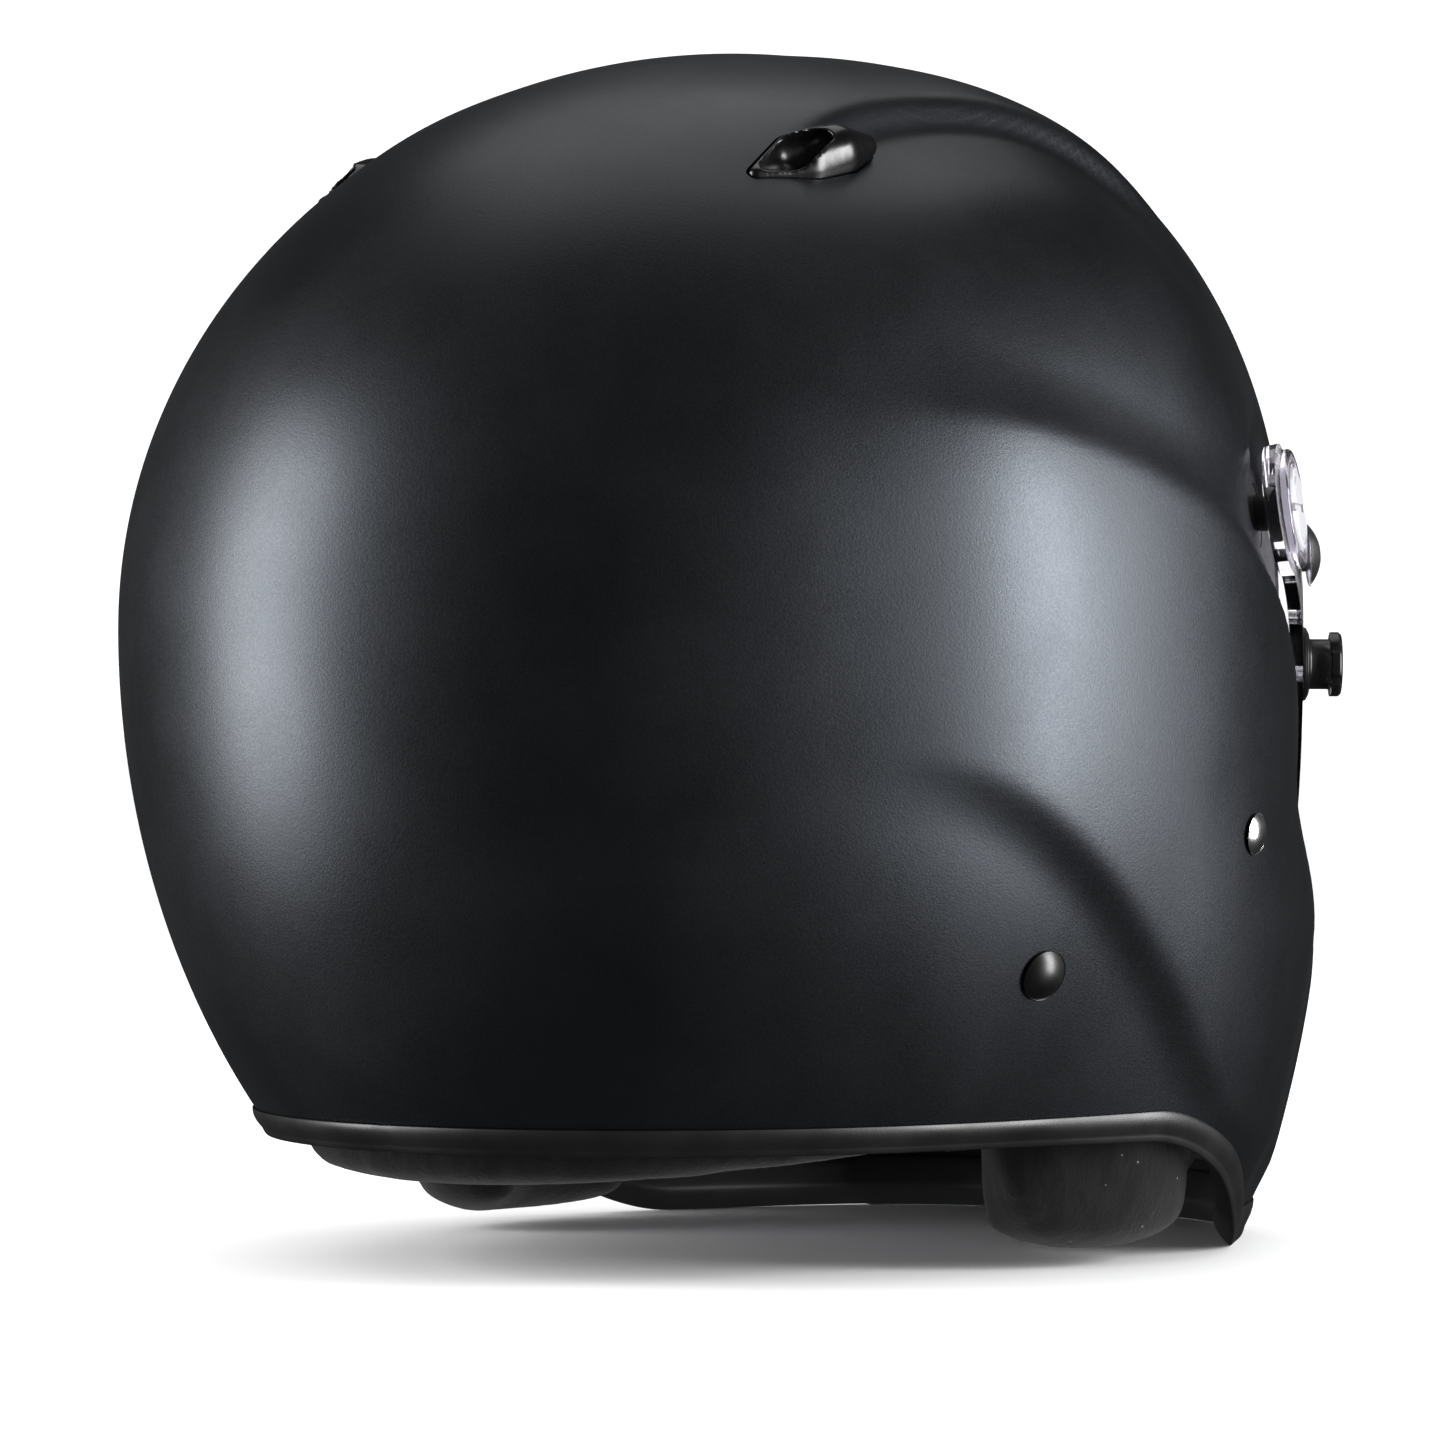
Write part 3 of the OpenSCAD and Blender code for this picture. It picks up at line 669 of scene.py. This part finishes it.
# The shell's inner side, where a scoop ends
def underSpot(u, v):
    a, e = 360 * u - 180, mix(-60, 90, v)
    return heading(a, e) * (hullLine(a, e) - wall + scoopForm["sunk"])


# Rear exhaust scoops, each a hull of balls with a mouth cut at the back
for side, word in ((1, "left"), (-1, "right")):
    scoop = hullOfBalls("scoop_" + word, scoopBalls, 0, side)
    carve(scoop, [hullOfBalls("cut_mouth", mouthBalls, 0, side)])
    carve(scoop, [gridPiece("cut_under", 60, 40, underSpot, fill=True)])
    remeshed(scoop, scoopForm["voxel"], scoopForm["smoothing"])
    finishPiece(scoop, glossBlack, "helmet", ["rear_vent_" + word])
print("scoops made")

# Degrees along the shell and millimetres off it, round a U-shaped rubber section
trim = {
    "section": [
        (-0.5, 0.9), (-0.12, 1.3), (0.2, 1.2), (0.5, 1.28), (1.1, 1.35), (1.62, 1.0), (1.9, 0.32),
        (1.2, 0.14), (-0.1, 0.14), (-0.14, -2), (-0.1, -4.15), (1.2, -4.3), (1.9, -4.6), (1.65, -5.3),
        (1.1, -5.7), (0, -5.7), (-0.45, -5.1), (-0.6, -2.4),
    ],
    "middle": (0.6, -2.3), "shrink": 0.93, "seam": 0.35, "around": 360, "round": 54,
}


def trimSpot(u, v):
    a = 360 * u - 180
    along, off = curveAt(trim["section"], v, True)
    pinch = smooth((180 - abs(a)) / trim["seam"])
    middleAlong, middleOff = trim["middle"]
    grow = mix(trim["shrink"], 1, pinch)  # the section is a little smaller at the butt joint
    return onShell(a, edge(a) + mix(middleAlong, along, grow), mix(middleOff, off, grow))


bottomTrim = gridPiece("edge_trim", trim["around"], trim["round"], trimSpot)
finishPiece(bottomTrim, trimRubber, "helmet", ["bottom_trim"])
print("trim made")

# Millimetres outward from the eyeport's edge, and off the shell's face, round the channel's section
gasketForm = {
    "section": [
        (5, 0.35), (4.9, 0.95), (4, 1.3), (1.5, 1.4), (-1, 1.3), (-1.8, 0.6), (-2, -2.5), (-1.8, -5.4),
        (-1, -6), (1.5, -6.2), (4, -6.1), (4.9, -5.7), (5, -5), (2, -4.85), (-0.15, -4.8), (-0.2, -2.3),
        (-0.15, 0.25), (2, 0.3),
    ],
    "around": 180, "round": 54,
}


# The y where a line along x, z meets the shell, found by halving
def frontDepth(x, z, off):
    near, far = -190, -20
    for _ in range(16):
        y = (near + far) / 2
        point = Vector((x, y, z))
        a, e = degrees(atan2(x, -y)), degrees(atan2(z, hypot(x, y)))
        if point.length > outside(a, e) + off:
            near = y
        else:
            far = y
    return near


def gasketSpot(u, v):
    out, off = curveAt(gasketForm["section"], v, True)
    (x, z), _ = eyeportSpot(u, out)
    return Vector((x, frontDepth(x, z, off), z))


gasket = gridPiece("eyeport_channel", gasketForm["around"], gasketForm["round"], gasketSpot)
finishPiece(gasket, gasketRubber, "helmet", ["eyeport_gasket"])
print("gasket made")

visorForm = {"across": 220, "rows": 26, "turn": 0.86, "edge": 0.4}  # turn: where the ears' steps begin


# Even steps over the sheet, then steps that crowd together at each ear's round end
def visorAzimuth(u):
    s, sign = abs(2 * u - 1), 1 if u > 0.5 else -1
    turn = visorForm["turn"]
    if s < turn:
        return sign * pivotAt[0] * s / turn
    return sign * (pivotAt[0] + earRadius * dsin(90 * (s - turn) / (1 - turn)))


def visorSpot(u, v):
    a = visorAzimuth(u)
    return onBare(a, mix(visorBottom(a), visorTop(a), v), visorOut)


shield = gridPiece("visor_shield", visorForm["across"], visorForm["rows"], visorSpot)
step = shield.modifiers.new("sheet", "SOLIDIFY")
step.thickness, step.offset, step.use_even_offset = (visorOut - visorIn) * 0.001, -1, True
bakeModifiers(shield)
shield.data.set_sharp_from_angle(angle=radians(50))
bevelled(shield, visorForm["edge"], 50, resharpen=False)
finishPiece(shield, visorClear, "visor_frame", ["visor"])
print("visor made")


# Outline of a low dome with a rounded rim, from the axis below to the axis on top
def domeProfile(radius, height, base, lip=0.25, steps=12):
    big = (radius * radius + height * height) / (2 * height)
    points = [(0, base), (radius - lip, base), (radius, base + lip)]
    reach = asin((radius - lip * 0.4) / big)
    middle = base + height - big
    for k in range(steps):
        turn = reach * (1 - k / steps)
        points.append((big * sin(turn), middle + big * cos(turn)))
    return points + [(0, base + height)]


# Outline of a shank with a domed head
def domedPin(form):
    shank = [(0, form["foot"]), (form["shank"], form["foot"]), (form["shank"], form["neck"])]
    return shank + domeProfile(*form["dome"])[1:]


def bothSides(at, off):
    return [standOn(at, off, side) for side in (1, -1)]


def boxCutter(size, place, matrix):
    mesh = bmesh.new()
    shaped = matrix @ Matrix.Translation(place) @ Matrix.Diagonal((*size, 1))
    bmesh.ops.create_cube(mesh, size=1, matrix=shaped)
    bmesh.ops.recalc_face_normals(mesh, faces=mesh.faces)
    return linkMesh("cutter", mesh)


def barCutter(radius, length, place, matrix, sides):
    mesh = bmesh.new()
    spot = matrix @ Matrix.Translation(place)
    bmesh.ops.create_cone(
        mesh, segments=sides, radius1=radius, radius2=radius, depth=length, cap_ends=True, matrix=spot
    )
    bmesh.ops.recalc_face_normals(mesh, faces=mesh.faces)
    return linkMesh("cutter", mesh)


# Outlines are (radius, height) above the face that the piece stands on
earRim = {"outline": [(10.0, 0.1), (13.4, 0.1), (13.4, 1.3), (12.9, 1.9), (10.0, 1.9)], "edge": 0.25}
pivotCap = {
    "outline": [
        (0, 0.25), (9.5, 0.25), (9.5, 1.65), (9.1, 2.2), (8.2, 2.45), (7.9, 2.1), (7.2, 2.1), (6.9, 2.45),
        (0, 2.45),
    ],
    "slot": (1.8, 15, 3), "slotHeight": 3.1, "dotRadius": 1.0, "dotAt": (0, 8.9, 2.4), "edge": 0.12,
}
chromeScrew = {
    "shank": 2.5, "foot": -3.3, "neck": 1.9, "dome": (7.5, 3.2, 2.1, 0.35), "socket": 2.1, "edge": 0.18,
}
tearOffPost = {
    "outline": [
        (2.05, 0.9), (8.4, 0.9), (8.3, 1.25), (7.2, 1.8), (5.95, 1.95), (5.75, 2.3), (5.75, 6.5),
        (5.95, 6.8), (7.5, 6.85), (7.5, 8.6), (6.9, 9.25), (2.6, 9.3), (2.2, 8.9), (0, 8.7), (0, 4.9),
        (2.05, 4.9),
    ],
    "notches": 6, "notchRadius": 1.6, "notchReach": 8.3, "notchHeight": 8.9, "edge": 0.12,
}
tearOffWasher = [(2.2, 0.2), (8.45, 0.2), (8.6, 0.35), (8.6, 0.7), (8.45, 0.85), (2.2, 0.85)]
strapRivet = {"shank": 2.5, "foot": -13.2, "neck": 0.8, "dome": (4.65, 1.7, 0.9)}
anchorPlug = {"shank": 2.4, "foot": -4, "neck": 0.4, "dome": (5.6, 2.2, 0.5)}

for side, word in ((1, "left"), (-1, "right")):
    spot = standOn(pivotAt, visorOut, side)
    rim = lathePiece("ear_ring_" + word, earRim["outline"], [spot], steps=96)
    bevelled(rim, earRim["edge"])
    finishPiece(rim, rimClear, "visor_frame", ["ear_rim_" + word])
    cap = lathePiece("pivot_disc_" + word, pivotCap["outline"], [spot], steps=96)
    slot = boxCutter(pivotCap["slot"], (0, 0, pivotCap["slotHeight"]), spot)
    dot = barCutter(pivotCap["dotRadius"], 3, pivotCap["dotAt"], spot, 20)
    carve(cap, [slot, dot])
    bevelled(cap, pivotCap["edge"])
    finishPiece(cap, capMilk, "visor_frame", ["pivot_cap_" + word])

screws = lathePiece("chrome_screws", domedPin(chromeScrew), bothSides(screwAt, visorOut))
hexRadius = chromeScrew["socket"]
carve(screws, [barCutter(hexRadius, 3, (0, 0, 4.9), spot, 6) for spot in bothSides(screwAt, visorOut)])
bevelled(screws, chromeScrew["edge"], 40)
finishPiece(screws, chrome, "visor_frame", ["visor_screws"])

posts = lathePiece("tear_off_pins", tearOffPost["outline"], bothSides(postAt, visorOut), steps=96)
notches = []
for spot in bothSides(postAt, visorOut):
    for number in range(tearOffPost["notches"]):
        turn, reach = 360 / tearOffPost["notches"] * number, tearOffPost["notchReach"]
        at = (reach * dcos(turn), reach * dsin(turn), tearOffPost["notchHeight"])
        notches.append(barCutter(tearOffPost["notchRadius"], 5, at, spot, 24))
carve(posts, notches)
bevelled(posts, tearOffPost["edge"])
finishPiece(posts, satinBlack, "visor_frame", ["tear_off_posts"])
washers = lathePiece("tear_off_discs", tearOffWasher, bothSides(postAt, visorOut), steps=96)
finishPiece(washers, satinBlack, "visor_frame", ["tear_off_washers"])

rivets = lathePiece("dome_rivets", domedPin(strapRivet), bothSides(rivetAt, panelHeight))
finishPiece(rivets, steel, "helmet", ["strap_rivets"])
plugs = lathePiece("anchor_caps", domedPin(anchorPlug), bothSides(anchorAt, 0))
finishPiece(plugs, plugBlack, "helmet", ["anchor_plugs"])
print("hardware made")

padding = {"voxel": 0.004, "pressure": 4, "frames": 20, "reach": 0.005, "smoothing": 6, "fill": 0.85}


# A place at height z, some mm inward of the shell's inner side
def insideAt(a, z, inward):
    e = elevation(a, z, -wall)
    r = (hullLine(a, e) - wall) * dcos(e) - inward
    return Vector((r * dsin(a), -r * dcos(a), z))


# The same below the shell's edge, straight down from just above it
def padFoot(a, z, inward):
    p = insideAt(a, edgeHeight(a) + 8, inward)
    return Vector((p.x, p.y, z))


# Blows the piece up like sewn cloth over foam, no point moving further than reach
def puffed(piece, reach=padding["reach"], pressure=padding["pressure"], voxel=padding["voxel"]):
    remeshed(piece, voxel)
    start = [v.co.copy() for v in piece.data.vertices]
    cloth = piece.modifiers.new("cloth", "CLOTH")
    cloth.settings.use_pressure = True
    cloth.settings.uniform_pressure_force = pressure
    cloth.settings.effector_weights.gravity = 0
    cloth.point_cache.frame_end = padding["frames"]
    for number in range(1, padding["frames"] + 1):
        bpy.context.scene.frame_set(number)
    bakeModifiers(piece)
    bpy.context.scene.frame_set(1)
    for vert, old in zip(piece.data.vertices, start):
        move = vert.co - old
        if move.length > reach:
            vert.co = old + move * (reach / move.length)
    blur = piece.modifiers.new("blur", "SMOOTH")
    blur.factor, blur.iterations = 0.5, padding["smoothing"]
    finer = piece.modifiers.new("finer", "SUBSURF")
    finer.levels = finer.render_levels = 1
    bakeModifiers(piece)
    smoothShade(piece)


cheek = {
    "front": 58, "back": 104, "thick": 40, "top": -4, "foot": edgeLevel - 25, "columns": 24, "around": 44,
}


def cheekSection(t):
    a = mix(cheek["front"], cheek["back"], t)
    full = smooth(1.25 * dsin(180 * mix(0.2, 0.9, t)))  # thinner and shorter toward both ends
    thick, top = cheek["thick"] * full + 4, cheek["top"] - 20 * (1 - full)
    foot = mix(cheek["foot"] + 16, cheek["foot"], full)
    return [
        insideAt(a, top, 6), insideAt(a, -40, 6), insideAt(a, edgeHeight(a) + 34, 6.5),
        insideAt(a, edgeHeight(a) + 8, 7.5), padFoot(a, foot + 7, 8), padFoot(a, foot + 1.5, 14),
        padFoot(a, foot + 1.5, thick - 13), padFoot(a, foot + 8, thick - 8),
        insideAt(a, -50, thick + 1), insideAt(a, top - 6, thick - 4), insideAt(a, top - 1, thick - 10),
    ]


neck = {"from": 117, "to": 243, "thick": 22, "drop": 7, "columns": 48, "around": 36}


def neckSection(t):
    a = mix(neck["from"], neck["to"], t)
    a = a if a < 180 else a - 360
    full = dsin(180 * mix(0.1, 0.9, t))
    low, thick = edgeHeight(a) - neck["drop"] * full, 10 + neck["thick"] * full
    return [
        insideAt(a, edgeHeight(a) + 25, 4), insideAt(a, edgeHeight(a) + 8, 7), padFoot(a, low + 3, 8),
        padFoot(a, low + 1, 12), padFoot(a, low + 1, thick - 5), padFoot(a, low + 5, thick - 1),
        insideAt(a, edgeHeight(a) + 20, thick + 5), insideAt(a, edgeHeight(a) + 26, thick),
    ]


def loftPiece(name, section, count, around, side=1):
    rows = [[(p.x * side, p.y, p.z) for p in section(k / count)] for k in range(count + 1)]

    def spot(u, v):
        return Vector(curveAt(rows[round(v * count)], u, True))

    return gridPiece(name, around, count, spot, fill=True)


for side, word in ((1, "left"), (-1, "right")):
    pad = loftPiece("cheek_cushion_" + word, cheekSection, cheek["columns"], cheek["around"], side)
    slotCut = boxCutter((50, 25, 8), (75, -16, -69), Matrix.Scale(0.001, 4) @ Matrix.Translation(centre))
    if side < 0:
        slotCut.data.transform(Matrix.Scale(-1, 4, (1, 0, 0)))
        slotCut.data.flip_normals()
    carve(pad, [slotCut])
    puffed(pad)
    finishPiece(pad, padCloth, "helmet", ["cheek_pad_" + word])
neckRoll = loftPiece("neck_cushion", neckSection, neck["columns"], neck["around"])
puffed(neckRoll)
finishPiece(neckRoll, padCloth, "helmet", ["neck_roll"])


quilt = {
    "depth": 40.2, "swell": 2.2, "strips": 330, "edge": 2.5, "thick": 0.0035, "around": 120, "rows": 60,
}


def liningEdge(a):
    return mix(mix(-31, 1, smooth((116 - abs(a)) / 8)), 25, smooth((80 - abs(a)) / 14))


# The lining's inner side, out to its rolled edge; quilted in strips that run front to back
def liningSpot(u, v):
    a = 360 * u - 180
    e = mix(liningEdge(a) + quilt["edge"], 90, v)
    d = heading(a, e)
    strip = abs(dsin(d.x * quilt["strips"]))
    return d * (bare(a, e) - quilt["depth"] - quilt["swell"] * strip**0.5)


lining = gridPiece("lining_cap", quilt["around"], quilt["rows"], liningSpot)
step = lining.modifiers.new("thickness", "SOLIDIFY")
step.thickness, step.offset = quilt["thick"], 1
bakeModifiers(lining)
puffed(lining, 0.002, 1, 0.003)
finishPiece(lining, liningCloth, "helmet", ["comfort_liner"])
print("pads made")

strap = {"y": -16, "wide": 22, "thick": 1.6, "ringZ": -92, "ringX": (59, 51.5), "loop": 2.7, "step": 1.5}
strapStart = [(insideAt(82, z, 3.2).x, z) for z in range(-30, -63, -8)]
strapBend = strapStart + [(97, -67.4), (92, -69), (64, -69), (60, -70), (57.5, -73)]


# A woven band of oval section with thicker edges, along a path of (x, z)
def strapPiece(name, path, side):
    lengths = [0]
    for p, q in zip(path, path[1:]):
        lengths.append(lengths[-1] + hypot(q[0] - p[0], q[1] - p[1]))
    count = int(lengths[-1] / strap["step"])
    half, thin = strap["wide"] / 2, strap["thick"] / 2
    section = [
        (-half, 0), (-half + 0.3, thin), (-half + 2, thin * 0.9), (0, thin), (half - 2, thin * 0.9),
        (half - 0.3, thin), (half, 0), (half - 0.3, -thin), (half - 2, -thin * 0.9), (0, -thin),
        (-half + 2, -thin * 0.9), (-half + 0.3, -thin),
    ]

    def along(v):
        s = v * lengths[-1]
        k = max(i for i in range(len(path) - 1) if lengths[i] <= s + 1e-9)
        t = (s - lengths[k]) / (lengths[k + 1] - lengths[k])
        return curveAt(path, (k + min(t, 1)) / (len(path) - 1), False)

    def spot(u, v):
        x, z = along(v)
        before, after = along(max(0, v - 0.004)), along(min(1, v + 0.004))
        run = Vector((after[0] - before[0], after[1] - before[1])).normalized()
        wide, off = curveAt(section, u, True)
        return Vector(((x - run.y * off) * side, strap["y"] + wide, z + run.x * off))

    girth = 0.047  # round the section, in metres
    return gridPiece(name, 36, count, spot, fill=True, size=(girth, lengths[-1] * 0.001))


foldedTail = [
    (56.5, -78), (56.5, -112), (55.3, -115), (53, -115), (51.8, -112),
    (51.8, -58), (50.6, -55), (48.4, -55), (47.2, -58), (47.2, -106),
]
longBand = strapPiece("strap_band_long", strapBend + foldedTail, -1)
finishPiece(longBand, strapCloth, "helmet", ["strap_long"])
shortBand = strapPiece("strap_band_short", strapBend + [(56.5, -77), (56, -89)], 1)
loopPath = []
for ringX, start in zip(strap["ringX"], (90, 270)):
    for turn in range(start, start - 181, -30):
        loopPath.append((ringX + strap["loop"] * dcos(turn), strap["ringZ"] + strap["loop"] * dsin(turn)))
loopBand = strapPiece("strap_band_loop", loopPath + [loopPath[0]], 1)
finishPiece(shortBand, strapCloth, "helmet", ["strap_short"])
finishPiece(loopBand, strapCloth, "helmet", ["strap_short"])
print("straps made")

ground = bmesh.new()
bmesh.ops.create_circle(ground, cap_ends=True, segments=128, radius=60)
floor = linkMesh("studio_floor", ground)
floor.visible_glossy = floor.visible_shadow = False
floor.visible_diffuse = False
floor.data.materials.append(pale())

aim = Vector((0, 0, 0.135))
viewLine = Vector((0.6157, -0.7880, 0))
rightHand = Vector((-0.7880, -0.6157, 0))


# An area light placed by its distance toward the viewer, to the right and up, facing the helmet
def softbox(name, toward, right, up, size, power, tall=None):
    data = bpy.data.lights.new(name, "AREA")
    data.shape, data.size, data.size_y, data.energy = "RECTANGLE", size, tall or size, power
    lamp = bpy.data.objects.new(name, data)
    bpy.context.scene.collection.objects.link(lamp)
    lamp.location = aim - viewLine * toward + rightHand * right + Vector((0, 0, up))
    lamp.rotation_euler = (aim - lamp.location).to_track_quat("-Z", "Y").to_euler()


# Toward the viewer, to the right, up, width, watts and height
softboxes = {
    "left_box": (0.25, -1.6, 0.2, 0.8, 50, 1.5),
    "right_box": (0.5, 1.5, 0.16, 0.65, 56, 1.3),
    "top_box": (-0.7, 0, 1.7, 1.4, 7),
}
for name, values in softboxes.items():
    softbox(name, *values)

# The helmet's sheen comes from the softboxes alone, so mirrored rays see a dim room
roomLight = {"plain": 1.25, "mirrored": 0.03}
world = bpy.data.worlds.new("studio")
world.use_nodes = True
tree = world.node_tree
room = tree.nodes["Background"]
ray = tree.nodes.new("ShaderNodeLightPath")
dim = tree.nodes.new("ShaderNodeMapRange")
dim.inputs["To Min"].default_value = roomLight["plain"]
dim.inputs["To Max"].default_value = roomLight["mirrored"]
mirrored = tree.nodes.new("ShaderNodeMath")
mirrored.operation = "SUBTRACT"
tree.links.new(ray.outputs["Is Glossy Ray"], mirrored.inputs[0])
tree.links.new(ray.outputs["Is Transmission Ray"], mirrored.inputs[1])
tree.links.new(mirrored.outputs[0], dim.inputs["Value"])
tree.links.new(dim.outputs["Result"], room.inputs["Strength"])
room.inputs["Color"].default_value = (1, 1, 1, 1)
bpy.context.scene.world = world

cameraSetup = {"lens": 152.8, "sensor": 36, "place": (-0.8571, 1.1018, 0.1199)}
camera = bpy.data.cameras.new("camera")
camera.lens, camera.sensor_width = cameraSetup["lens"], cameraSetup["sensor"]
view = bpy.data.objects.new("camera", camera)
bpy.context.scene.collection.objects.link(view)
view.location = cameraSetup["place"]
view.rotation_euler = viewLine.to_track_quat("-Z", "Y").to_euler()
bpy.context.scene.camera = view
bpy.context.scene.view_settings.view_transform = "Standard"

print("studio made")
